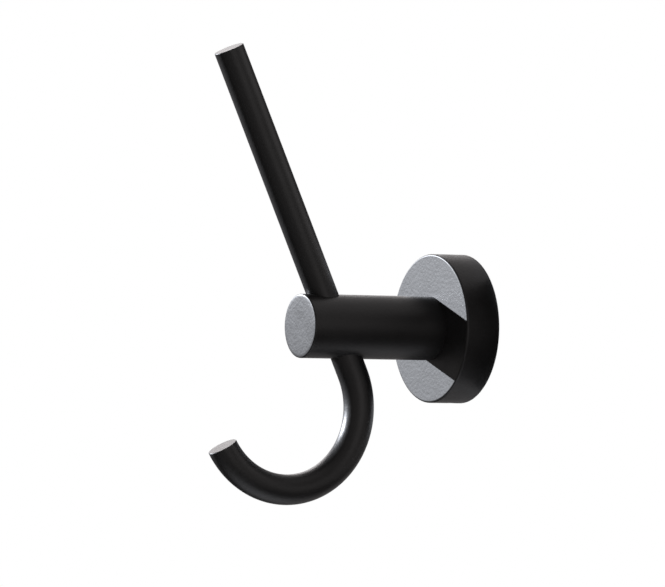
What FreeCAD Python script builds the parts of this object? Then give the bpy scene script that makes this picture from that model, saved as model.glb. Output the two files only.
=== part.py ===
import FreeCAD
import Part

import math
import os

# Double robe hook: a round rosette on the wall, a turned post, and one bent rod that is peg and hook.
# Millimetres, +Z up. The wall is the plane Y = 0, the hook reaches out along -Y, and the origin is the
# centre of the rosette's back. "Depth" below is the distance from the wall.

Vector = FreeCAD.Vector

# Rosette: a turned cup that hides the wall bracket
ROSETTE_DIAMETER = 49.0
ROSETTE_SIDE_WALL = 3.0
ROSETTE_FRONT_WALL = 3.0
ROSETTE_EDGE_RADIUS = 0.5
ROSETTE_CAVITY_RADIUS = 1.0
ROSETTE_BACK_CHAMFER = 0.3

# Post: a turned bar, centred on the rosette by a short spigot
POST_DIAMETER = 21.0
POST_LENGTH = 49.0
POST_EDGE_RADIUS = 0.4
SPIGOT_DIAMETER = 9.5
SPIGOT_SETBACK = 1.0
SPIGOT_CLEARANCE = 0.05

# Rod: one round bar through the post, leaning out from the wall at its top
ROD_DIAMETER = 10.0
ROD_LEAN_DEG = 23.8
ROD_EDGE_RADIUS = 0.3
ROD_JOINT_GAP = 0.03
POST_END_LAND = 3.0
PEG_LENGTH = 86.5
TAIL_STRAIGHT = 3.0
BEND_RADIUS = 27.2
BEND_SWEEP_DEG = 174.5

# Wall bracket: a ring with a V groove round its rim and two slots for wall screws
BRACKET_THICKNESS = 6.0
BRACKET_CLEARANCE = 0.3
BRACKET_GROOVE_LAND = 1.1
BRACKET_FRONT_CHAMFER = 0.4
WALL_SCREW_HEAD_ROOM = 3.3
SLOT_WIDTH = 4.6
SLOT_LENGTH = 6.5

# Post screw: a flanged button-head screw from inside the rosette into the post
POST_SCREW_DIAMETER = 6.0
POST_SCREW_LENGTH = 12.0
POST_SCREW_FLANGE_DIAMETER = 13.2
POST_SCREW_FLANGE_THICKNESS = 1.0
POST_SCREW_DOME_DIAMETER = 10.5
POST_SCREW_DOME_HEIGHT = 2.3
POST_SCREW_DOME_LAND = 0.5
POST_SCREW_HEX = 4.0
POST_SCREW_HEX_DEPTH = 2.0
POST_SCREW_HEAD_CLEARANCE = 0.9
TAP_RUNOUT = 2.0
DRILL_POINT_DEG = 118.0

# Grub screw: a cone-point set screw up through the rosette's rim into the bracket's groove
GRUB_DIAMETER = 4.0
GRUB_LENGTH = 4.0
GRUB_HEX = 2.0
GRUB_HEX_DEPTH = 1.8
GRUB_CONE_DEG = 90.0
GRUB_TIP_FLAT = 0.4
GRUB_FORWARD_OFFSET = 0.3
GRUB_SEAT_GAP = 0.05

# Radial gap that stands for the thread at both screws, and the chamfer at a screw's end
THREAD_GAP = 0.05
SCREW_END_CHAMFER = 0.5

# How far a cutting tool runs past the face it leaves
CUT_PAST = 1.0

# Values that follow from the sizes above
rosette_radius = ROSETTE_DIAMETER / 2
cavity_radius = rosette_radius - ROSETTE_SIDE_WALL
cavity_depth = BRACKET_THICKNESS + WALL_SCREW_HEAD_ROOM
rosette_depth = cavity_depth + ROSETTE_FRONT_WALL

post_radius = POST_DIAMETER / 2
post_end_depth = rosette_depth + POST_LENGTH
spigot_length = ROSETTE_FRONT_WALL - SPIGOT_SETBACK
spigot_end_depth = rosette_depth - spigot_length

rod_radius = ROD_DIAMETER / 2
rod_lean = math.radians(ROD_LEAN_DEG)
rod_up = Vector(0, -math.sin(rod_lean), math.cos(rod_lean))
rod_forward = Vector(0, -math.cos(rod_lean), -math.sin(rod_lean))
crossing_setback = POST_END_LAND + rod_radius / math.cos(rod_lean) + post_radius * math.tan(rod_lean)
crossing = Vector(0, -(post_end_depth - crossing_setback), 0)
axis_in_post = post_radius / math.cos(rod_lean)
rod_tip = crossing + rod_up * (axis_in_post + PEG_LENGTH)
bend_start = crossing - rod_up * (axis_in_post + rod_radius * math.tan(rod_lean) + TAIL_STRAIGHT)
bend_centre = bend_start + rod_forward * BEND_RADIUS

bracket_radius = cavity_radius - BRACKET_CLEARANCE
bracket_hole_radius = POST_SCREW_FLANGE_DIAMETER / 2 + POST_SCREW_HEAD_CLEARANCE
groove_depth = BRACKET_THICKNESS / 2
groove_half_width = groove_depth - BRACKET_GROOVE_LAND
groove_bottom_radius = bracket_radius - groove_half_width
slot_centre_radius = (bracket_hole_radius + groove_bottom_radius) / 2

grub_depth = groove_depth + GRUB_FORWARD_OFFSET
grub_half_cone = math.radians(GRUB_CONE_DEG / 2)
grub_apex_radius = groove_bottom_radius + GRUB_FORWARD_OFFSET + GRUB_SEAT_GAP

WALL_NORMAL = Vector(0, 1, 0)
SIDEWAYS = Vector(1, 0, 0)
UPWARD = Vector(0, 0, 1)


def rounded_wire(corners):
    """Closed wire through (point, rounding) corners, where a rounding above zero becomes a tangent arc."""
    spans = []
    for index, (point, rounding) in enumerate(corners):
        if rounding <= 0:
            spans.append((point, None, point))
            continue
        before = (corners[index - 1][0] - point).normalize()
        after = (corners[(index + 1) % len(corners)][0] - point).normalize()
        half_angle = before.getAngle(after) / 2
        reach = rounding / math.tan(half_angle)
        inward = (before + after).normalize()
        middle = point + inward * (rounding / math.sin(half_angle) - rounding)
        spans.append((point + before * reach, middle, point + after * reach))
    edges = []
    for (start, middle, end), following in zip(spans, spans[1:] + spans[:1]):
        if middle is not None:
            edges.append(Part.Arc(start, middle, end).toShape())
        edges.append(Part.LineSegment(end, following[0]).toShape())
    return Part.Wire(edges)


def lathe(corners):
    """Solid turned about the post's axis from the (radius, depth, rounding) corners of its half section."""
    section = [(Vector(radius, -depth, 0), rounding) for radius, depth, rounding in corners]
    return Part.Face(rounded_wire(section)).revolve(Vector(), WALL_NORMAL, 360)


def hex_prism(across_flats, length, start, direction):
    """Hexagonal prism for a key socket, from a start point along a direction."""
    corner_radius = across_flats / math.sqrt(3)
    turn = FreeCAD.Rotation(UPWARD, direction)
    corners = []
    for step in range(7):
        angle = math.radians(60 * step)
        corner = Vector(corner_radius * math.cos(angle), corner_radius * math.sin(angle), 0)
        corners.append(start + turn.multVec(corner))
    return Part.Face(Part.makePolygon(corners)).extrude(direction * length)


def slot_cutter(middle):
    """Round-ended cutter for one wall-screw slot, long across the bracket and through its thickness."""
    radius = SLOT_WIDTH / 2
    half_straight = (SLOT_LENGTH - SLOT_WIDTH) / 2
    left = middle - SIDEWAYS * half_straight
    right = middle + SIDEWAYS * half_straight
    rise = UPWARD * radius
    outline = Part.Wire([
        Part.LineSegment(left - rise, right - rise).toShape(),
        Part.Arc(right - rise, right + SIDEWAYS * radius, right + rise).toShape(),
        Part.LineSegment(right + rise, left + rise).toShape(),
        Part.Arc(left + rise, left - SIDEWAYS * radius, left - rise).toShape(),
    ])
    return Part.Face(outline).extrude(-WALL_NORMAL * (BRACKET_THICKNESS + 2 * CUT_PAST))


def round_ends(shape, centres, radius):
    """The shape with a fillet on each circular edge whose centre is one of the given points."""
    edges = [
        edge
        for edge in shape.Edges
        if isinstance(edge.Curve, Part.Circle)
        and any((edge.Curve.Center - centre).Length < radius for centre in centres)
    ]
    return shape.makeFillet(radius, edges)


def make_rosette():
    """Turned cup with the spigot's bore in its front and the grub screw's hole under its rim."""
    bore_radius = SPIGOT_DIAMETER / 2 + SPIGOT_CLEARANCE
    cup = lathe([
        (cavity_radius, 0, 0),
        (rosette_radius - ROSETTE_BACK_CHAMFER, 0, 0),
        (rosette_radius, ROSETTE_BACK_CHAMFER, 0),
        (rosette_radius, rosette_depth, ROSETTE_EDGE_RADIUS),
        (bore_radius, rosette_depth, 0),
        (bore_radius, cavity_depth, 0),
        (cavity_radius, cavity_depth, ROSETTE_CAVITY_RADIUS),
    ])
    hole_top = Vector(0, -grub_depth, -(cavity_radius - CUT_PAST))
    hole_length = ROSETTE_SIDE_WALL + 2 * CUT_PAST
    return cup.cut(Part.makeCylinder(GRUB_DIAMETER / 2 + THREAD_GAP, hole_length, hole_top, -UPWARD))


def make_post():
    """Turned bar with its spigot, a tapped hole from the back and the leaning cross bore for the rod."""
    spigot_radius = SPIGOT_DIAMETER / 2
    bar = lathe([
        (0, spigot_end_depth, 0),
        (spigot_radius, spigot_end_depth, 0),
        (spigot_radius, rosette_depth, 0),
        (post_radius, rosette_depth, 0),
        (post_radius, post_end_depth, POST_EDGE_RADIUS),
        (0, post_end_depth, 0),
    ])
    tap_radius = POST_SCREW_DIAMETER / 2 + THREAD_GAP
    tap_end_depth = cavity_depth + POST_SCREW_LENGTH + TAP_RUNOUT
    point_length = tap_radius / math.tan(math.radians(DRILL_POINT_DEG / 2))
    tapped_hole = lathe([
        (0, spigot_end_depth - CUT_PAST, 0),
        (tap_radius, spigot_end_depth - CUT_PAST, 0),
        (tap_radius, tap_end_depth, 0),
        (0, tap_end_depth + point_length, 0),
    ])
    bore_radius = rod_radius + ROD_JOINT_GAP
    bore_half_length = axis_in_post + bore_radius * math.tan(rod_lean) + CUT_PAST
    bore_start = crossing - rod_up * bore_half_length
    cross_bore = Part.makeCylinder(bore_radius, 2 * bore_half_length, bore_start, rod_up)
    return bar.cut(tapped_hole).cut(cross_bore)


def make_hook_rod():
    """One bar: the straight peg through the post, then a bend forward and up into the hook."""
    straight = Part.makeCylinder(rod_radius, (rod_tip - bend_start).Length, bend_start, rod_up)
    section = Part.Face(Part.Wire(Part.makeCircle(rod_radius, bend_start, rod_up)))
    bend = section.revolve(bend_centre, -SIDEWAYS, BEND_SWEEP_DEG)
    turn = FreeCAD.Rotation(-SIDEWAYS, BEND_SWEEP_DEG)
    hook_end = bend_centre + turn.multVec(bend_start - bend_centre)
    return round_ends(straight.fuse(bend), [rod_tip, hook_end], ROD_EDGE_RADIUS)


def make_wall_bracket():
    """Ring on the wall, with a V groove for the grub screw and a slot on each side for a wall screw."""
    ring = lathe([
        (bracket_hole_radius, 0, 0),
        (bracket_radius, 0, 0),
        (bracket_radius, groove_depth - groove_half_width, 0),
        (groove_bottom_radius, groove_depth, 0),
        (bracket_radius, groove_depth + groove_half_width, 0),
        (bracket_radius, BRACKET_THICKNESS - BRACKET_FRONT_CHAMFER, 0),
        (bracket_radius - BRACKET_FRONT_CHAMFER, BRACKET_THICKNESS, 0),
        (bracket_hole_radius, BRACKET_THICKNESS, 0),
    ])
    for side in (-1, 1):
        ring = ring.cut(slot_cutter(Vector(side * slot_centre_radius, CUT_PAST, 0)))
    return ring


def make_post_screw():
    """Flanged button-head screw, with its head inside the rosette and a hex socket facing the wall."""
    shank_radius = POST_SCREW_DIAMETER / 2
    flange_radius = POST_SCREW_FLANGE_DIAMETER / 2
    dome_radius = POST_SCREW_DOME_DIAMETER / 2
    flange_depth = cavity_depth - POST_SCREW_FLANGE_THICKNESS
    head_top_depth = flange_depth - POST_SCREW_DOME_HEIGHT
    end_depth = cavity_depth + POST_SCREW_LENGTH
    body = lathe([
        (0, head_top_depth, 0),
        (dome_radius, head_top_depth, POST_SCREW_DOME_HEIGHT - POST_SCREW_DOME_LAND),
        (dome_radius, flange_depth, 0),
        (flange_radius, flange_depth, 0),
        (flange_radius, cavity_depth, 0),
        (shank_radius, cavity_depth, 0),
        (shank_radius, end_depth - SCREW_END_CHAMFER, 0),
        (shank_radius - SCREW_END_CHAMFER, end_depth, 0),
        (0, end_depth, 0),
    ])
    socket = hex_prism(POST_SCREW_HEX, POST_SCREW_HEX_DEPTH, Vector(0, -head_top_depth, 0), -WALL_NORMAL)
    return body.cut(socket)


def make_grub_screw():
    """Cone-point set screw under the rim, with its key socket facing down."""
    radius = GRUB_DIAMETER / 2
    outer_radius = grub_apex_radius + GRUB_LENGTH
    flat_height = GRUB_TIP_FLAT / 2 / math.tan(grub_half_cone)
    cone_height = radius / math.tan(grub_half_cone)
    section = [
        (0, flat_height),
        (GRUB_TIP_FLAT / 2, flat_height),
        (radius, cone_height),
        (radius, GRUB_LENGTH),
        (0, GRUB_LENGTH),
    ]
    apex = Vector(0, -grub_depth, -grub_apex_radius)
    corners = [(apex + Vector(across, 0, -along), 0) for across, along in section]
    body = Part.Face(rounded_wire(corners)).revolve(apex, UPWARD, 360)
    mouth = Vector(0, -grub_depth, -outer_radius)
    return body.cut(hex_prism(GRUB_HEX, GRUB_HEX_DEPTH, mouth, UPWARD))


PIECES = {
    "rosette": make_rosette,
    "post": make_post,
    "hook_rod": make_hook_rod,
    "wall_bracket": make_wall_bracket,
    "post_screw": make_post_screw,
    "grub_screw": make_grub_screw,
}

os.makedirs("parts", exist_ok=True)
for name, make in PIECES.items():
    shape = make()
    shape.exportStep(os.path.join("parts", name + ".step"))
    print(name, "valid" if shape.isValid() else "NOT VALID", len(shape.Solids), round(shape.Volume, 2), "mm3")
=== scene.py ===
"""Double robe hook in matte black powder coat, dressed and lit around its CAD frame.

Lengths are in metres in the CAD frame: the wall is the plane Y = 0, the hook reaches out along -Y, +Z is up.
Depth is the distance from the wall, and a lathe profile lists the (radius, depth) corners of a half section.
"""

import enum
import logging
import math
from dataclasses import dataclass, replace
from typing import Sequence

import bmesh
import bpy
from mathutils import Matrix, Vector

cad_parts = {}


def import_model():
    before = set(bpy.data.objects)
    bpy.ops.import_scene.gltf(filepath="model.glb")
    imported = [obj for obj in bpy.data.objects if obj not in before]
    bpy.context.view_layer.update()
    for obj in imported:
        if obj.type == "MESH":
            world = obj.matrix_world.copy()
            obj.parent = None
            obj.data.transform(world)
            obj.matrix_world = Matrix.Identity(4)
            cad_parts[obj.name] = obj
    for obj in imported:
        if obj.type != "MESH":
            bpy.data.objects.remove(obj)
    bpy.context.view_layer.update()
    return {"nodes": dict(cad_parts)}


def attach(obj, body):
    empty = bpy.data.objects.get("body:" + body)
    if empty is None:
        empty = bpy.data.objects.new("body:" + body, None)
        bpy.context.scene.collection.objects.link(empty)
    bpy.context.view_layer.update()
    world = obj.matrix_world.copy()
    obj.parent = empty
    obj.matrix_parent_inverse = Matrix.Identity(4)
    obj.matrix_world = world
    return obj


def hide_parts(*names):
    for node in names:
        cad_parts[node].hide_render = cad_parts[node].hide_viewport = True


MM = 0.001
# Points closer than WELD are made one, and points within TOUCH of a circle count as on it.
WELD = 1e-7
TOUCH = 10 * WELD
# How far a cutter runs past the surface that it goes through.
OVERRUN = 1.0 * MM
HEXAGON = 6
# Two directions whose dot product is above this count as the same.
ALONG = 0.9
# The phase in radians that a Wave texture runs through per metre at a scale of 1.
WAVE_PHASE = 20.0
BODY = "root"
FRAME_WIDTH_PX = 665
ORIGIN = Vector((0.0, 0.0, 0.0))
STILL = Vector((0.0, 0.0, 0.0))
WALL_NORMAL = Vector((0.0, 1.0, 0.0))
SIDEWAYS = Vector((1.0, 0.0, 0.0))
UPWARD = Vector((0.0, 0.0, 1.0))
# Times a place, this leaves its level part.
LEVEL = (1.0, 1.0, 0.0)

Corner = tuple[float, float]
Colour = tuple[float, float, float, float]

WHITE: Colour = (1.0, 1.0, 1.0, 1.0)

log = logging.getLogger("robe_hook")


class MaterialSlot(enum.Enum):
    """The record's material slots."""

    BLACK = "black_powder_coat"
    ZINC = "zinc_plate"
    OXIDE = "black_oxide"


class Join(enum.Enum):
    """How a tool body changes the piece that it meets."""

    CUT_AWAY = "DIFFERENCE"
    ADD_ON = "UNION"


def to_object(bm: bmesh.types.BMesh, name: str) -> bpy.types.Object:
    """Puts a finished bmesh in the scene as an object at the origin.

    Args:
        bm: The shape, which is freed here.
        name: The object's name.

    Returns:
        The new object.
    """
    mesh = bpy.data.meshes.new(name)
    bm.to_mesh(mesh)
    bm.free()
    made = bpy.data.objects.new(name, mesh)
    bpy.context.scene.collection.objects.link(made)
    return made


def close_up(bm: bmesh.types.BMesh) -> bmesh.types.BMesh:
    """Welds seams and poles and turns every face outwards.

    Args:
        bm: The shape to close.

    Returns:
        The same shape.
    """
    bmesh.ops.remove_doubles(bm, verts=bm.verts[:], dist=WELD)
    bmesh.ops.recalc_face_normals(bm, faces=bm.faces[:])
    return bm


def lathe(corners: Sequence[Corner], steps: int = 192) -> bmesh.types.BMesh:
    """Turns a closed half section about the post's axis.

    Args:
        corners: The (radius, depth) corners in order.
        steps: Flats round the turn.

    Returns:
        The turned solid.
    """
    bm = bmesh.new()
    points = [bm.verts.new((radius, -depth, 0.0)) for radius, depth in corners]
    for start, end in zip(points, points[1:] + points[:1]):
        if start.co.x > WELD or end.co.x > WELD:
            bm.edges.new((start, end))
    bmesh.ops.spin(
        bm, geom=bm.verts[:] + bm.edges[:], cent=ORIGIN, axis=WALL_NORMAL, dvec=STILL,
        angle=math.tau, steps=steps, use_merge=True,
    )
    return close_up(bm)


def round_edges(
    bm: bmesh.types.BMesh, edges: Sequence[bmesh.types.BMEdge], radius: float, segments: int,
) -> None:
    """Rounds the given edges.

    Args:
        bm: The shape that holds them.
        edges: The edges to round.
        radius: The rounding's radius.
        segments: Flats across the rounding.
    """
    bmesh.ops.bevel(
        bm, geom=list(edges), offset=radius, offset_type="OFFSET", segments=segments, profile=0.5,
        affect="EDGES", material=-1, clamp_overlap=True,
    )


def round_corner(bm: bmesh.types.BMesh, corner: Corner, radius: float, segments: int = 5) -> None:
    """Rounds the circular edge that a lathe corner makes.

    Args:
        bm: The turned solid.
        corner: The (radius, depth) corner.
        radius: The rounding's radius.
        segments: Flats across the rounding.
    """
    def at_corner(vert: bmesh.types.BMVert) -> bool:
        """Whether a vertex lies on that circle."""
        off_axis = math.hypot(vert.co.x, vert.co.z)
        return abs(off_axis - corner[0]) < TOUCH and abs(vert.co.y + corner[1]) < TOUCH

    round_edges(bm, [edge for edge in bm.edges if all(map(at_corner, edge.verts))], radius, segments)


def stand_along(bm: bmesh.types.BMesh, start: Vector, direction: Vector, second_axis: str = "Y") -> None:
    """Turns a shape that stands on the origin along Z to another place and direction.

    Args:
        bm: The shape.
        start: Where its origin goes.
        direction: Where its Z axis points.
        second_axis: The axis of the shape that is kept as near to upward as can be.
    """
    turn = direction.to_track_quat("Z", second_axis).to_matrix().to_4x4()
    bmesh.ops.transform(bm, matrix=Matrix.Translation(start) @ turn, verts=bm.verts[:])


def prism(
    segments: int, radius: float, start: Vector, direction: Vector, length: float,
) -> bmesh.types.BMesh:
    """Makes a straight prism, such as a key socket's hexagon or a drill's cylinder.

    Args:
        segments: Sides of the prism.
        radius: From its axis to its corners.
        start: The middle of its first end.
        direction: The way it runs.
        length: How far it runs.

    Returns:
        The closed prism.
    """
    bm = bmesh.new()
    bmesh.ops.create_circle(bm, cap_ends=True, segments=segments, radius=radius)
    stand_along(bm, start, direction)
    raised = bmesh.ops.extrude_face_region(bm, geom=bm.faces[:])
    top = [item for item in raised["geom"] if isinstance(item, bmesh.types.BMVert)]
    bmesh.ops.translate(bm, vec=direction * length, verts=top)
    return close_up(bm)


def key_tool(
    flats: float, mouth: Vector, direction: Vector, length: float, point: float,
) -> bmesh.types.BMesh:
    """Makes the cutter for a hexagon key's socket, with a drilled point at its end.

    Args:
        flats: The key's size across its flats.
        mouth: The middle of the cutter's first end.
        direction: The way into the screw.
        length: How far the flats run.
        point: How far the point goes on past them.

    Returns:
        The cutter.
    """
    bm = prism(HEXAGON, flats / math.sqrt(3), mouth, direction, length)
    end = [face for face in bm.faces if face.normal.dot(direction) > ALONG]
    poked = bmesh.ops.poke(bm, faces=end)
    bmesh.ops.translate(bm, vec=direction * point, verts=poked["verts"])
    return close_up(bm)


def combine(piece: bpy.types.Object, tool_shape: bmesh.types.BMesh, how: Join) -> None:
    """Cuts a tool body from a piece, or adds it, and keeps the welded result as the piece's mesh.

    Args:
        piece: The object to change.
        tool_shape: The tool body.
        how: Whether it is cut away or added.
    """
    tool = to_object(tool_shape, piece.name + "_tool")
    boolean = piece.modifiers.new("tool", "BOOLEAN")
    boolean.operation = how.value
    boolean.solver = "EXACT"
    boolean.object = tool
    graph = bpy.context.evaluated_depsgraph_get()
    made = bpy.data.meshes.new_from_object(piece.evaluated_get(graph))
    joined = bmesh.new()
    joined.from_mesh(made)
    bmesh.ops.remove_doubles(joined, verts=joined.verts[:], dist=WELD)
    joined.to_mesh(made)
    joined.free()
    before, tool_mesh = piece.data, tool.data
    piece.modifiers.clear()
    piece.data = made
    bpy.data.objects.remove(tool)
    bpy.data.meshes.remove(tool_mesh)
    bpy.data.meshes.remove(before)
    made.name = piece.name


def shade_smooth(piece: bpy.types.Object, crease_deg: float = 32.0) -> None:
    """Shades a piece smooth between its real edges, with its flats kept flat.

    Args:
        piece: The object to shade.
        crease_deg: The angle from which an edge counts as a real one.
    """
    mesh = piece.data
    mesh.polygons.foreach_set("use_smooth", [True] * len(mesh.polygons))
    mesh.set_sharp_from_angle(angle=math.radians(crease_deg))
    weighted = piece.modifiers.new("weighted_normals", "WEIGHTED_NORMAL")
    weighted.keep_sharp = True


class NodeSheet:
    """Adds nodes to a node tree and links them."""

    def __init__(self, tree: bpy.types.NodeTree) -> None:
        """Keeps the tree."""
        self.tree = tree

    def add(
        self, kind: str, values: dict[str | int, object] | None = None, **properties: object,
    ) -> bpy.types.Node:
        """Adds one node.

        Args:
            kind: The node's type name.
            values: Input socket values by name or index.
            properties: Node properties to set.

        Returns:
            The node.
        """
        node = self.tree.nodes.new(kind)
        for key, value in properties.items():
            setattr(node, key, value)
        for key, value in (values or {}).items():
            node.inputs[key].default_value = value
        return node

    def link(self, source: bpy.types.NodeSocket, target: bpy.types.NodeSocket) -> None:
        """Links one socket to another."""
        self.tree.links.new(source, target)

    def maths(
        self, operation: str, first: bpy.types.NodeSocket, second: bpy.types.NodeSocket,
    ) -> bpy.types.NodeSocket:
        """Adds a Math node over two sockets.

        Args:
            operation: The node's operation.
            first: What it takes first.
            second: What it takes second.

        Returns:
            The result.
        """
        node = self.add("ShaderNodeMath", operation=operation)
        self.link(first, node.inputs[0])
        self.link(second, node.inputs[1])
        return node.outputs["Value"]

    def colour_mix(self, first: Colour, second: Colour, share: bpy.types.NodeSocket) -> bpy.types.NodeSocket:
        """Adds a mix of two colours.

        Args:
            first: The colour at a share of 0.
            second: The colour at a share of 1.
            share: How much of the second there is.

        Returns:
            The mixed colour.
        """
        node = self.add("ShaderNodeMix", data_type="RGBA")
        ends = [socket for socket in node.inputs if socket.type == "RGBA"]
        ends[0].default_value = first
        ends[1].default_value = second
        self.link(share, node.inputs["Factor"])
        return next(socket for socket in node.outputs if socket.type == "RGBA")

    def matte_or_clear(self, colour: Colour, clear_share: bpy.types.NodeSocket) -> None:
        """Ends a material in a matte colour that can be seen through in part.

        Args:
            colour: The matte colour.
            clear_share: How much is clear, from 0 to 1.
        """
        matte = self.add("ShaderNodeBsdfDiffuse", {"Color": colour})
        clear = self.add("ShaderNodeBsdfTransparent")
        shown = self.add("ShaderNodeMixShader")
        outlet = self.add("ShaderNodeOutputMaterial")
        self.link(clear_share, shown.inputs["Fac"])
        self.link(matte.outputs["BSDF"], shown.inputs[1])
        self.link(clear.outputs["BSDF"], shown.inputs[2])
        self.link(shown.outputs["Shader"], outlet.inputs["Surface"])


def blank_material(name: str) -> bpy.types.Material:
    """Makes a material with an empty node tree.

    Args:
        name: The material's name.

    Returns:
        The material.
    """
    made = bpy.data.materials.new(name)
    made.use_nodes = True
    made.node_tree.nodes.clear()
    return made


class SkinGrain:
    """A node group shared by every finish: a fine grain and broad soft patches over the surface."""

    NAME = "skin_grain"
    GRAIN_NOISE = {"Detail": 1.5, "Roughness": 0.5}
    PATCH_NOISE = {"Detail": 3.0, "Roughness": 0.55}

    @classmethod
    def group(cls) -> bpy.types.NodeTree:
        """Builds the group once.

        Returns:
            The group, with inputs Vector, Grain Scale and Patch Scale and outputs Grain and Patch.
        """
        found = bpy.data.node_groups.get(cls.NAME)
        if found:
            return found
        tree = bpy.data.node_groups.new(cls.NAME, "ShaderNodeTree")
        for name, kind in (("Vector", "Vector"), ("Grain Scale", "Float"), ("Patch Scale", "Float")):
            tree.interface.new_socket(name=name, in_out="INPUT", socket_type="NodeSocket" + kind)
        for name in ("Grain", "Patch"):
            tree.interface.new_socket(name=name, in_out="OUTPUT", socket_type="NodeSocketFloat")
        sheet = NodeSheet(tree)
        inlet = sheet.add("NodeGroupInput")
        outlet = sheet.add("NodeGroupOutput")
        grain = sheet.add("ShaderNodeTexNoise", cls.GRAIN_NOISE)
        patch = sheet.add("ShaderNodeTexNoise", cls.PATCH_NOISE)
        for noise, scale in ((grain, "Grain Scale"), (patch, "Patch Scale")):
            sheet.link(inlet.outputs["Vector"], noise.inputs["Vector"])
            sheet.link(inlet.outputs[scale], noise.inputs["Scale"])
        sheet.link(grain.outputs["Fac"], outlet.inputs["Grain"])
        sheet.link(patch.outputs["Fac"], outlet.inputs["Patch"])
        return tree


@dataclass(frozen=True)
class Finish:
    """A surface finish: two drifting shades, a grain in its gloss and relief, and any turning marks."""

    name: str
    dark: Colour
    light: Colour
    roughness: tuple[float, float]
    metallic: float
    grain_per_m: float
    patch_per_m: float
    relief: float
    ior: float = 1.5
    patch_span: tuple[float, float] = (0.3, 0.7)
    turning_pitch: float = 0.0
    turning_relief: float = 0.0
    turning_shade: float = 0.5
    turning_wander: float = 0.5
    turning_detail: float = 2.0

    def turning_marks(self, sheet: NodeSheet, place: bpy.types.Node) -> bpy.types.NodeSocket:
        """Adds the fine rings that a lathe leaves about the post's axis.

        Args:
            sheet: The material's nodes.
            place: The node that gives Object coordinates.

        Returns:
            The rings' height, from 0 to 1.
        """
        rings = sheet.add(
            "ShaderNodeTexWave",
            {
                "Scale": math.tau / WAVE_PHASE / self.turning_pitch,
                "Distortion": self.turning_wander, "Detail": self.turning_detail,
            },
            wave_type="RINGS", rings_direction="Y",
        )
        sheet.link(place.outputs["Object"], rings.inputs["Vector"])
        return rings.outputs["Fac"]

    def material(self) -> bpy.types.Material:
        """Builds the finish's material once.

        Returns:
            The material.
        """
        found = bpy.data.materials.get(self.name)
        if found:
            return found
        made = blank_material(self.name)
        made.diffuse_color = self.light
        sheet = NodeSheet(made.node_tree)
        place = sheet.add("ShaderNodeTexCoord")
        grain = sheet.add("ShaderNodeGroup", node_tree=SkinGrain.group())
        grain.inputs["Grain Scale"].default_value = self.grain_per_m
        grain.inputs["Patch Scale"].default_value = self.patch_per_m
        gloss = sheet.add(
            "ShaderNodeMapRange",
            {
                "From Min": self.patch_span[0], "From Max": self.patch_span[1],
                "To Min": self.roughness[0], "To Max": self.roughness[1],
            },
        )
        bump = sheet.add("ShaderNodeBump", {"Strength": 1.0, "Distance": self.relief})
        shader = sheet.add("ShaderNodeBsdfPrincipled", {"Metallic": self.metallic, "IOR": self.ior})
        outlet = sheet.add("ShaderNodeOutputMaterial")
        sheet.link(place.outputs["Object"], grain.inputs["Vector"])
        shade = grain.outputs["Patch"]
        sheet.link(grain.outputs["Patch"], gloss.inputs["Value"])
        sheet.link(grain.outputs["Grain"], bump.inputs["Height"])
        sheet.link(gloss.outputs["Result"], shader.inputs["Roughness"])
        if self.turning_pitch:
            rings = self.turning_marks(sheet, place)
            turned = sheet.add("ShaderNodeBump", {"Strength": 1.0, "Distance": self.turning_relief})
            ringed = sheet.add("ShaderNodeMix", {"Factor": self.turning_shade}, data_type="FLOAT")
            sheet.link(rings, turned.inputs["Height"])
            sheet.link(turned.outputs["Normal"], bump.inputs["Normal"])
            sheet.link(shade, ringed.inputs["A"])
            sheet.link(rings, ringed.inputs["B"])
            shade = ringed.outputs["Result"]
        sheet.link(sheet.colour_mix(self.dark, self.light, shade), shader.inputs["Base Color"])
        sheet.link(bump.outputs["Normal"], shader.inputs["Normal"])
        sheet.link(shader.outputs["BSDF"], outlet.inputs["Surface"])
        return made


FINISHES: dict[MaterialSlot, Finish] = {
    MaterialSlot.BLACK: Finish(
        name="matte_black_powder_coat",
        dark=(0.0068, 0.0064, 0.0064, 1.0), light=(0.0110, 0.0104, 0.0104, 1.0),
        roughness=(0.39, 0.44), metallic=0.0, ior=1.6,
        grain_per_m=1100.0, patch_per_m=160.0, relief=0.042 * MM,
    ),
    MaterialSlot.ZINC: Finish(
        name="bright_zinc_plate",
        dark=(0.50, 0.51, 0.53, 1.0), light=(0.66, 0.67, 0.69, 1.0),
        roughness=(0.30, 0.40), metallic=1.0,
        grain_per_m=1500.0, patch_per_m=260.0, relief=0.006 * MM,
        turning_pitch=0.8 * MM, turning_relief=0.008 * MM,
    ),
    MaterialSlot.OXIDE: Finish(
        name="black_oxide",
        dark=(0.030, 0.030, 0.033, 1.0), light=(0.055, 0.055, 0.060, 1.0),
        roughness=(0.30, 0.44), metallic=1.0,
        grain_per_m=3200.0, patch_per_m=300.0, relief=0.004 * MM,
    ),
}


@dataclass
class Piece:
    """One physical piece, which stands for a CAD node."""

    name: str
    node: str
    slot: MaterialSlot

    def shape(self) -> bpy.types.Object:
        """Models the piece.

        Returns:
            The piece's object, not yet dressed.
        """
        raise NotImplementedError

    def finish(self) -> Finish:
        """The piece's finish, which is its slot's unless the piece says otherwise."""
        return FINISHES[self.slot]

    def build(self) -> bpy.types.Object:
        """Models the piece, dresses it and hangs it on its body.

        Returns:
            The finished object.
        """
        made = self.shape()
        shade_smooth(made)
        made.data.materials.clear()
        made.data.materials.append(self.finish().material())
        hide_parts(self.node)
        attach(made, BODY)
        faces = len(made.data.polygons)
        log.info("%s for %s: %d faces in %s", made.name, self.node, faces, self.slot.value)
        return made


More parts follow.
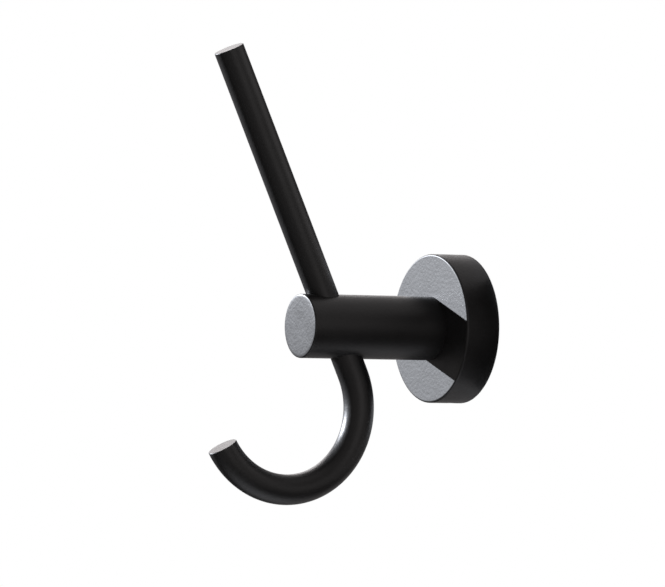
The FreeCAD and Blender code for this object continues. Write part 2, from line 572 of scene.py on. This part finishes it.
@dataclass
class Rosette(Piece):
    """The turned cup on the wall."""

    name: str = "rosette_cup"
    node: str = "rosette"
    slot: MaterialSlot = MaterialSlot.BLACK
    radius: float = 24.5 * MM
    depth: float = 12.3 * MM
    side_wall: float = 3.0 * MM
    front_wall: float = 3.0 * MM
    edge_radius: float = 0.7 * MM
    cavity_radius: float = 1.0 * MM
    back_chamfer: float = 0.3 * MM
    bore_radius: float = 4.8 * MM
    grub_hole_radius: float = 2.05 * MM
    grub_hole_depth: float = 3.3 * MM
    grub_hole_sides: int = 48
    coat_roughness: tuple[float, float] = (0.45, 0.51)

    def finish(self) -> Finish:
        """The black coat, sprayed a trace drier on the broad cup than on the bars."""
        coat = FINISHES[self.slot]
        return replace(coat, name=coat.name + "_dry", roughness=self.coat_roughness)

    def shape(self) -> bpy.types.Object:
        """Models the cup, its rounded front edge and the set screw's hole.

        Returns:
            The cup.
        """
        inner = self.radius - self.side_wall
        floor_depth = self.depth - self.front_wall
        front, corner = (self.radius, self.depth), (inner, floor_depth)
        bm = lathe([
            (inner, 0.0), (self.radius - self.back_chamfer, 0.0), (self.radius, self.back_chamfer), front,
            (self.bore_radius, self.depth), (self.bore_radius, floor_depth), corner,
        ])
        round_corner(bm, front, self.edge_radius)
        round_corner(bm, corner, self.cavity_radius)
        cup = to_object(bm, self.name)
        start = Vector((0.0, -self.grub_hole_depth, -inner + OVERRUN))
        length = self.side_wall + 2 * OVERRUN
        drill = prism(self.grub_hole_sides, self.grub_hole_radius, start, -UPWARD, length)
        combine(cup, drill, Join.CUT_AWAY)
        return cup


@dataclass(frozen=True)
class RodLine:
    """The middle line of the bent rod, shared by the rod and by the post that it passes through."""

    lean_deg: float = 23.8
    crossing_depth: float = 48.204 * MM
    radius: float = 5.0 * MM
    to_tip: float = 97.976 * MM
    to_bend: float = 16.681 * MM
    bend_radius: float = 27.2 * MM
    bend_sweep_deg: float = 174.5

    @property
    def crossing(self) -> Vector:
        """Where the rod's line meets the post's."""
        return Vector((0.0, -self.crossing_depth, 0.0))

    @property
    def up(self) -> Vector:
        """The rod's way up to the peg's tip."""
        lean = math.radians(self.lean_deg)
        return Vector((0.0, -math.sin(lean), math.cos(lean)))

    @property
    def bend_start(self) -> Vector:
        """Where the straight rod starts to bend."""
        return self.crossing - self.up * self.to_bend

    @property
    def bend_centre(self) -> Vector:
        """The middle of the bend."""
        return self.bend_start + SIDEWAYS.cross(self.up) * self.bend_radius


@dataclass
class Post(Piece):
    """The turned bar that carries the rod."""

    name: str = "post_bar"
    node: str = "post"
    slot: MaterialSlot = MaterialSlot.BLACK
    radius: float = 10.5 * MM
    start_depth: float = 12.3 * MM
    end_depth: float = 61.3 * MM
    edge_radius: float = 0.5 * MM
    crown: float = 0.06 * MM
    crown_power: int = 5
    crown_rings: int = 8
    spigot_radius: float = 4.75 * MM
    spigot_length: float = 2.0 * MM
    tap_radius: float = 3.05 * MM
    tap_end_depth: float = 23.3 * MM
    tap_point: float = 1.83 * MM
    rod_gap: float = 0.03 * MM
    bore_sides: int = 96
    bore_reach_in_radii: float = 1.6
    rod: RodLine = RodLine()

    def shape(self) -> bpy.types.Object:
        """Models the bar, its softly crowned and rounded end and the leaning bore.

        Returns:
            The bar.
        """
        spigot_end = self.start_depth - self.spigot_length
        shares = [ring / self.crown_rings for ring in range(self.crown_rings, -1, -1)]
        end_face = [
            (share * self.radius, self.end_depth - self.crown * share ** self.crown_power) for share in shares
        ]
        bm = lathe([
            (0.0, self.tap_end_depth + self.tap_point), (self.tap_radius, self.tap_end_depth),
            (self.tap_radius, spigot_end), (self.spigot_radius, spigot_end),
            (self.spigot_radius, self.start_depth), (self.radius, self.start_depth), *end_face,
        ])
        round_corner(bm, end_face[0], self.edge_radius)
        bar = to_object(bm, self.name)
        reach = self.bore_reach_in_radii * self.radius
        start = self.rod.crossing - self.rod.up * reach
        bore = prism(self.bore_sides, self.rod.radius + self.rod_gap, start, self.rod.up, 2 * reach)
        combine(bar, bore, Join.CUT_AWAY)
        return bar


@dataclass
class HookRod(Piece):
    """The bent rod: a straight peg above the post, a curved hook below it."""

    name: str = "hook_bar"
    node: str = "hook_rod"
    slot: MaterialSlot = MaterialSlot.BLACK
    line: RodLine = RodLine()
    end_radius: float = 0.3 * MM
    end_segments: int = 4
    sides: int = 96
    bend_steps: int = 120

    def shape(self) -> bpy.types.Object:
        """Models the straight length, spins its end round the bend and rounds both ends.

        Returns:
            The rod.
        """
        line = self.line
        bm = bmesh.new()
        bmesh.ops.create_circle(bm, cap_ends=False, segments=self.sides, radius=line.radius)
        tip = line.crossing + line.up * line.to_tip
        stand_along(bm, tip, line.up, "X")
        drawn = bmesh.ops.extrude_edge_only(bm, edges=bm.edges[:])
        low_verts = [item for item in drawn["geom"] if isinstance(item, bmesh.types.BMVert)]
        bmesh.ops.translate(bm, vec=line.bend_start - tip, verts=low_verts)
        low_edges = [edge for edge in bm.edges if all(vert in low_verts for vert in edge.verts)]
        bmesh.ops.spin(
            bm, geom=low_verts + low_edges, cent=line.bend_centre, axis=-SIDEWAYS, dvec=STILL,
            angle=math.radians(line.bend_sweep_deg), steps=self.bend_steps,
        )
        close_up(bm)
        bmesh.ops.holes_fill(bm, edges=[edge for edge in bm.edges if edge.is_boundary], sides=0)
        ends = [face for face in bm.faces if len(face.verts) == self.sides]
        round_edges(bm, [edge for face in ends for edge in face.edges], self.end_radius, self.end_segments)
        return to_object(close_up(bm), self.name)


@dataclass
class WallBracket(Piece):
    """The ring on the wall that the rosette hangs on."""

    name: str = "bracket_ring"
    node: str = "wall_bracket"
    slot: MaterialSlot = MaterialSlot.ZINC
    radius: float = 21.2 * MM
    hole_radius: float = 7.5 * MM
    thickness: float = 6.0 * MM
    groove: float = 1.9 * MM
    front_chamfer: float = 0.4 * MM
    slot_at: float = 13.4 * MM
    slot_width: float = 4.6 * MM
    slot_length: float = 6.5 * MM
    slot_sides: int = 50

    def slot_tool(self, side: int) -> bmesh.types.BMesh:
        """Makes a slot's cutter by drawing the two halves of a cylinder apart.

        Args:
            side: -1 for the left slot, 1 for the right one.

        Returns:
            The cutter.
        """
        middle = Vector((side * self.slot_at, OVERRUN, 0.0))
        length = self.thickness + 2 * OVERRUN
        bm = prism(self.slot_sides, self.slot_width / 2, middle, -WALL_NORMAL, length)
        stretch = (self.slot_length - self.slot_width) / 2
        for half in (-1, 1):
            verts = [vert for vert in bm.verts if (vert.co.x - middle.x) * half > WELD]
            bmesh.ops.translate(bm, vec=SIDEWAYS * half * stretch, verts=verts)
        return bm

    def shape(self) -> bpy.types.Object:
        """Models the grooved ring and its two slots.

        Returns:
            The ring.
        """
        middle, shoulder = self.thickness / 2, self.thickness - self.front_chamfer
        ring = to_object(lathe([
            (self.hole_radius, 0.0), (self.radius, 0.0), (self.radius, middle - self.groove),
            (self.radius - self.groove, middle), (self.radius, middle + self.groove),
            (self.radius, shoulder), (self.radius - self.front_chamfer, self.thickness),
            (self.hole_radius, self.thickness),
        ]), self.name)
        for side in (-1, 1):
            combine(ring, self.slot_tool(side), Join.CUT_AWAY)
        return ring


@dataclass(frozen=True)
class Thread:
    """A screw's helical thread, whose depth, root and crest are given as shares of its pitch."""

    major: float
    pitch: float
    steps: int = 40
    depth_share: float = 0.6134
    root_end: float = 0.25
    crest: tuple[float, float] = (9 / 16, 11 / 16)
    spare_turns: int = 2

    @property
    def minor(self) -> float:
        """The radius at the thread's root."""
        return self.major - self.depth_share * self.pitch

    def core(self, start: Vector, direction: Vector, length: float) -> bmesh.types.BMesh:
        """Winds the thread and trims it square at both ends.

        Args:
            start: The middle of the first end.
            direction: The way it runs.
            length: How far it runs.

        Returns:
            The closed threaded core, along the given direction.
        """
        section = [
            (self.minor, 0.0), (self.minor, self.root_end),
            (self.major, self.crest[0]), (self.major, self.crest[1]), (self.minor, 1.0),
        ]
        bm = bmesh.new()
        points = [bm.verts.new((radius, 0.0, (share - 1.0) * self.pitch)) for radius, share in section]
        for lower, upper in zip(points, points[1:]):
            bm.edges.new((lower, upper))
        turns = math.ceil(length / self.pitch) + self.spare_turns
        bmesh.ops.spin(
            bm, geom=bm.verts[:] + bm.edges[:], cent=ORIGIN, axis=UPWARD,
            dvec=UPWARD * (self.pitch / self.steps), angle=math.tau * turns, steps=self.steps * turns,
        )
        close_up(bm)
        for height, below in ((0.0, True), (length, False)):
            everything = bm.verts[:] + bm.edges[:] + bm.faces[:]
            bmesh.ops.bisect_plane(
                bm, geom=everything, plane_co=UPWARD * height, plane_no=UPWARD,
                clear_inner=below, clear_outer=not below,
            )
        bmesh.ops.holes_fill(bm, edges=[edge for edge in bm.edges if edge.is_boundary], sides=0)
        stand_along(bm, start, direction)
        return close_up(bm)


@dataclass
class PostScrew(Piece):
    """The flanged button-head screw that holds the post to the rosette."""

    name: str = "post_bolt"
    node: str = "post_screw"
    slot: MaterialSlot = MaterialSlot.ZINC
    seat_depth: float = 9.3 * MM
    length: float = 12.0 * MM
    flange_radius: float = 6.6 * MM
    flange: float = 1.0 * MM
    dome_radius: float = 5.25 * MM
    dome: float = 2.3 * MM
    dome_rounding: float = 1.8 * MM
    dome_segments: int = 8
    rim_rounding: float = 0.3 * MM
    rim_segments: int = 3
    head_sides: int = 96
    shank_overlap: float = 0.5 * MM
    hex_flats: float = 4.0 * MM
    hex_depth: float = 2.0 * MM
    hex_point: float = 0.8 * MM
    thread: Thread = Thread(major=3.0 * MM, pitch=1.0 * MM)

    def shape(self) -> bpy.types.Object:
        """Models the head, its key socket and the threaded shank.

        Returns:
            The screw.
        """
        flange_top = self.seat_depth - self.flange
        top = flange_top - self.dome
        crown, rim = (self.dome_radius, top), (self.flange_radius, flange_top)
        bm = lathe([
            (0.0, top), crown, (self.dome_radius, flange_top), rim,
            (self.flange_radius, self.seat_depth), (0.0, self.seat_depth),
        ], steps=self.head_sides)
        round_corner(bm, crown, self.dome_rounding, self.dome_segments)
        round_corner(bm, rim, self.rim_rounding, self.rim_segments)
        screw = to_object(bm, self.name)
        mouth = Vector((0.0, OVERRUN - top, 0.0))
        socket = key_tool(self.hex_flats, mouth, -WALL_NORMAL, self.hex_depth + OVERRUN, self.hex_point)
        combine(screw, socket, Join.CUT_AWAY)
        root = Vector((0.0, -self.seat_depth + self.shank_overlap, 0.0))
        shank = self.thread.core(root, -WALL_NORMAL, self.length + self.shank_overlap)
        combine(screw, shank, Join.ADD_ON)
        return screw


@dataclass
class GrubScrew(Piece):
    """The cone-point set screw under the rim."""

    name: str = "set_screw"
    node: str = "grub_screw"
    slot: MaterialSlot = MaterialSlot.OXIDE
    depth: float = 3.3 * MM
    apex_at: float = 19.65 * MM
    length: float = 4.0 * MM
    tip_flat: float = 0.4 * MM
    cone_sides: int = 64
    hex_flats: float = 2.0 * MM
    hex_depth: float = 1.8 * MM
    hex_point: float = 0.4 * MM
    thread: Thread = Thread(major=2.0 * MM, pitch=0.7 * MM, steps=32)

    def shape(self) -> bpy.types.Object:
        """Models the threaded body, its cone point and its key socket.

        Returns:
            The screw.
        """
        cone, tip_radius = self.thread.minor, self.tip_flat / 2
        cone_height = cone - tip_radius
        shoulder = Vector((0.0, -self.depth, -self.apex_at - cone))
        screw = to_object(self.thread.core(shoulder, -UPWARD, self.length - cone), self.name)
        bm = bmesh.new()
        bmesh.ops.create_cone(
            bm, cap_ends=True, segments=self.cone_sides, radius1=cone, radius2=tip_radius, depth=cone_height,
        )
        bmesh.ops.translate(bm, vec=shoulder + UPWARD * cone_height / 2, verts=bm.verts[:])
        combine(screw, bm, Join.ADD_ON)
        mouth = Vector((0.0, -self.depth, -self.apex_at - self.length - OVERRUN))
        socket = key_tool(self.hex_flats, mouth, UPWARD, self.hex_depth + OVERRUN, self.hex_point)
        combine(screw, socket, Join.CUT_AWAY)
        return screw


@dataclass
class ViewPoint:
    """The camera that took the photograph."""

    azimuth_deg: float = 60.351
    elevation_deg: float = -2.273
    distance: float = 2.5
    aim_right: float = -42.598 * MM
    aim_up: float = 11.744 * MM
    focal_px: float = 7579.0
    sensor_mm: float = 36.0
    near: float = 0.01
    far: float = 50.0

    @property
    def back(self) -> Vector:
        """Works out the way from the object to the camera; azimuth turns from -Y towards +X.

        Returns:
            The unit vector.
        """
        azimuth, elevation = math.radians(self.azimuth_deg), math.radians(self.elevation_deg)
        level = math.cos(elevation)
        return Vector((math.sin(azimuth) * level, -math.cos(azimuth) * level, math.sin(elevation)))

    def build(self) -> bpy.types.Object:
        """Sets up the camera with no roll, shift or blur.

        Returns:
            The camera.
        """
        turn = self.back.to_track_quat("Z", "Y")
        aim = turn @ Vector((self.aim_right, self.aim_up, 0.0))
        data = bpy.data.cameras.new("view")
        data.sensor_fit = "HORIZONTAL"
        data.sensor_width = self.sensor_mm
        data.lens = self.focal_px * self.sensor_mm / FRAME_WIDTH_PX
        data.clip_start, data.clip_end = self.near, self.far
        camera = bpy.data.objects.new("view", data)
        camera.rotation_mode = "QUATERNION"
        camera.rotation_quaternion = turn
        camera.location = aim + self.back * self.distance
        bpy.context.scene.collection.objects.link(camera)
        bpy.context.scene.camera = camera
        log.info("camera %.1f mm lens at %s", data.lens, [round(x, 4) for x in camera.location])
        return camera


@dataclass(frozen=True)
class Glow:
    """A soft bright patch of the surround."""

    azimuth_deg: float
    elevation_deg: float
    strength: float
    full_deg: float
    gone_deg: float

    @property
    def direction(self) -> Vector:
        """Works out the way to the patch's middle; azimuth turns from +X towards +Y.

        Returns:
            The unit vector.
        """
        azimuth, elevation = math.radians(self.azimuth_deg), math.radians(self.elevation_deg)
        level = math.cos(elevation)
        return Vector((math.cos(azimuth) * level, math.sin(azimuth) * level, math.sin(elevation)))


@dataclass(frozen=True)
class Card:
    """A flat card beside or behind the rosette, which the camera looks through and the hook's surfaces
    mirror: painted shade where it is black, a painted reflection where it is white.
    """

    name: str
    colour: Colour
    radii: tuple[float, float]
    behind: float
    from_deg: float
    sweep_deg: float
    steps: int = 48

    def material(self) -> bpy.types.Material:
        """Makes the card's matte colour, which is clear to the camera.

        Returns:
            The material.
        """
        made = blank_material(self.name)
        sheet = NodeSheet(made.node_tree)
        path = sheet.add("ShaderNodeLightPath")
        sheet.matte_or_clear(self.colour, path.outputs["Is Camera Ray"])
        return made

    def build(self) -> bpy.types.Object:
        """Sweeps the card round the rosette's axis and sets it up behind the wall's plane.

        Returns:
            The card.
        """
        bm = bmesh.new()
        start = math.radians(self.from_deg)
        outward = Vector((math.cos(start), 0.0, math.sin(start)))
        ends = [bm.verts.new(outward * radius + WALL_NORMAL * self.behind) for radius in self.radii]
        edge = bm.edges.new(ends)
        bmesh.ops.spin(
            bm, geom=[*ends, edge], cent=ORIGIN, axis=-WALL_NORMAL, dvec=STILL,
            angle=math.radians(self.sweep_deg), steps=self.steps,
        )
        made = to_object(close_up(bm), self.name)
        made.data.materials.append(self.material())
        return made


@dataclass
class Studio:
    """A white studio: a hard lamp, soft glows, a white backdrop, two cards that the hook mirrors as painted
    shade and a painted reflection, and a pale floor.
    """

    lamp_from: tuple[float, float, float] = (-0.805, -0.50, 0.319)
    lamp_strength: float = 6.25
    lamp_angle_deg: float = 1.0
    lamp_colour: tuple[float, float, float] = (0.95, 0.985, 1.06)
    surround: float = 0.04
    soft_colour: Colour = (1.0, 0.955, 0.955, 1.0)
    glows: tuple[Glow, ...] = (
        Glow(azimuth_deg=-45.0, elevation_deg=10.0, strength=0.17, full_deg=10.0, gone_deg=75.0),
        Glow(azimuth_deg=0.0, elevation_deg=0.0, strength=0.48, full_deg=3.0, gone_deg=32.0),
        Glow(azimuth_deg=60.0, elevation_deg=10.0, strength=0.6, full_deg=3.0, gone_deg=34.0),
        Glow(azimuth_deg=75.0, elevation_deg=62.0, strength=0.38, full_deg=8.0, gone_deg=48.0),
        Glow(azimuth_deg=140.0, elevation_deg=42.0, strength=0.3, full_deg=3.0, gone_deg=32.0),
        Glow(azimuth_deg=118.0, elevation_deg=-30.0, strength=0.34, full_deg=5.0, gone_deg=38.0),
        Glow(azimuth_deg=163.0, elevation_deg=32.0, strength=3.7, full_deg=5.0, gone_deg=20.0),
        Glow(azimuth_deg=-150.0, elevation_deg=-10.0, strength=0.25, full_deg=3.0, gone_deg=30.0),
    )
    backdrop: Glow = Glow(
        azimuth_deg=150.4, elevation_deg=2.3, strength=1.0, full_deg=10.0, gone_deg=30.0,
    )
    background: float = 1.0
    floor_height: float = -1.2
    floor_radius: float = 1.0
    floor_sides: int = 128
    floor_fade_start: float = 0.25
    floor_colour: Colour = (0.80, 0.80, 0.80, 1.0)
    cards: tuple[Card, ...] = (
        # Painted shade: a black card that the camera looks through. The rosette's rim mirrors its black, and
        # it keeps the glows behind it off the rim.
        Card(
            name="black_card", colour=(0.01, 0.01, 0.01, 1.0),
            radii=(25.5 * MM, 50.0 * MM), behind=0.5 * MM, from_deg=-62.0, sweep_deg=106.0,
        ),
        # Painted reflection: a white card that the camera looks through, which the zinc bracket mirrors as a
        # bright sheet.
        Card(
            name="white_card", colour=(0.80, 0.80, 0.80, 1.0),
            radii=(0.0, 42.0 * MM), behind=20.0 * MM, from_deg=0.0, sweep_deg=360.0,
        ),
    )

    def lamp(self) -> bpy.types.Object:
        """Hangs the hard lamp.

        Returns:
            The lamp.
        """
        data = bpy.data.lights.new("key_lamp", "SUN")
        data.energy = self.lamp_strength
        data.angle = math.radians(self.lamp_angle_deg)
        data.color = self.lamp_colour
        lamp = bpy.data.objects.new("key_lamp", data)
        lamp.rotation_mode = "QUATERNION"
        lamp.rotation_quaternion = Vector(self.lamp_from).to_track_quat("Z", "Y")
        bpy.context.scene.collection.objects.link(lamp)
        return lamp

    @staticmethod
    def patch(sheet: NodeSheet, way: bpy.types.Node, glow: Glow) -> bpy.types.NodeSocket:
        """Adds one soft patch of light to the surround.

        Args:
            sheet: The world's nodes.
            way: The node that gives the way a ray goes.
            glow: The patch.

        Returns:
            Its brightness along each way.
        """
        facing = sheet.add("ShaderNodeVectorMath", {1: glow.direction}, operation="DOT_PRODUCT")
        fade = sheet.add(
            "ShaderNodeMapRange",
            {
                "From Min": math.cos(math.radians(glow.gone_deg)),
                "From Max": math.cos(math.radians(glow.full_deg)), "To Max": glow.strength,
            },
            interpolation_type="SMOOTHSTEP",
        )
        sheet.link(way.outputs["Generated"], facing.inputs[0])
        sheet.link(facing.outputs["Value"], fade.inputs["Value"])
        return fade.outputs["Result"]

    def world(self) -> bpy.types.World:
        """Makes a surround that lights the object with its glows and shows a white background.

        The camera sees white all round.
        Mirrored and see-through rays meet the white only where it stands behind the hook.

        Returns:
            The world.
        """
        world = bpy.data.worlds.new("surround")
        world.use_nodes = True
        world.node_tree.nodes.clear()
        bpy.context.scene.world = world
        sheet = NodeSheet(world.node_tree)
        way = sheet.add("ShaderNodeTexCoord")
        path = sheet.add("ShaderNodeLightPath")
        to_camera = path.outputs["Is Camera Ray"]
        even = sheet.add("ShaderNodeMath", {0: self.surround, 1: 0.0}, operation="ADD")
        total = even.outputs["Value"]
        for glow in self.glows:
            total = sheet.maths("ADD", total, self.patch(sheet, way, glow))
        mirrored = sheet.maths("MAXIMUM", path.outputs["Is Glossy Ray"], path.outputs["Is Transmission Ray"])
        behind = sheet.maths("MULTIPLY", mirrored, self.patch(sheet, way, self.backdrop))
        lit = sheet.maths("MAXIMUM", total, behind)
        seen = sheet.add("ShaderNodeMix", {"B": self.background}, data_type="FLOAT")
        light = sheet.add("ShaderNodeBackground")
        outlet = sheet.add("ShaderNodeOutputWorld")
        sheet.link(to_camera, seen.inputs["Factor"])
        sheet.link(lit, seen.inputs["A"])
        sheet.link(sheet.colour_mix(self.soft_colour, WHITE, to_camera), light.inputs["Color"])
        sheet.link(seen.outputs["Result"], light.inputs["Strength"])
        sheet.link(light.outputs["Background"], outlet.inputs["Surface"])
        return world

    def floor_material(self) -> bpy.types.Material:
        """Makes a pale floor that fades out at its rim and can be seen through from below.

        Returns:
            The material.
        """
        made = blank_material("pale_floor")
        sheet = NodeSheet(made.node_tree)
        place = sheet.add("ShaderNodeTexCoord")
        level = sheet.add("ShaderNodeVectorMath", {1: LEVEL}, operation="MULTIPLY")
        away = sheet.add("ShaderNodeVectorMath", operation="LENGTH")
        fade = sheet.add(
            "ShaderNodeMapRange",
            {"From Min": self.floor_fade_start * self.floor_radius, "From Max": self.floor_radius},
            interpolation_type="SMOOTHSTEP",
        )
        sides = sheet.add("ShaderNodeNewGeometry")
        sheet.link(place.outputs["Object"], level.inputs[0])
        sheet.link(level.outputs["Vector"], away.inputs[0])
        sheet.link(away.outputs["Value"], fade.inputs["Value"])
        gone = sheet.maths("MAXIMUM", fade.outputs["Result"], sides.outputs["Backfacing"])
        sheet.matte_or_clear(self.floor_colour, gone)
        return made

    def floor(self) -> bpy.types.Object:
        """Lays the floor.

        Returns:
            The floor.
        """
        bm = bmesh.new()
        bmesh.ops.create_circle(bm, cap_ends=True, segments=self.floor_sides, radius=self.floor_radius)
        bmesh.ops.translate(bm, vec=UPWARD * self.floor_height, verts=bm.verts[:])
        made = to_object(bm, "floor")
        made.data.materials.append(self.floor_material())
        return made

    def build(self) -> None:
        """Lights the scene and lays the floor."""
        bpy.context.scene.view_settings.view_transform = "Standard"
        self.world()
        self.lamp()
        self.floor()
        for card in self.cards:
            card.build()
        log.info("studio with its lamp from %s", self.lamp_from)


def main() -> None:
    """Builds the pieces, the studio and the camera."""
    logging.basicConfig(level=logging.INFO, format="%(name)s: %(message)s")
    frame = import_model()
    log.info("frame with nodes %s", sorted(frame["nodes"]))
    for piece in (Rosette(), Post(), HookRod(), WallBracket(), PostScrew(), GrubScrew()):
        piece.build()
    Studio().build()
    ViewPoint().build()


if __name__ == "__main__":
    main()
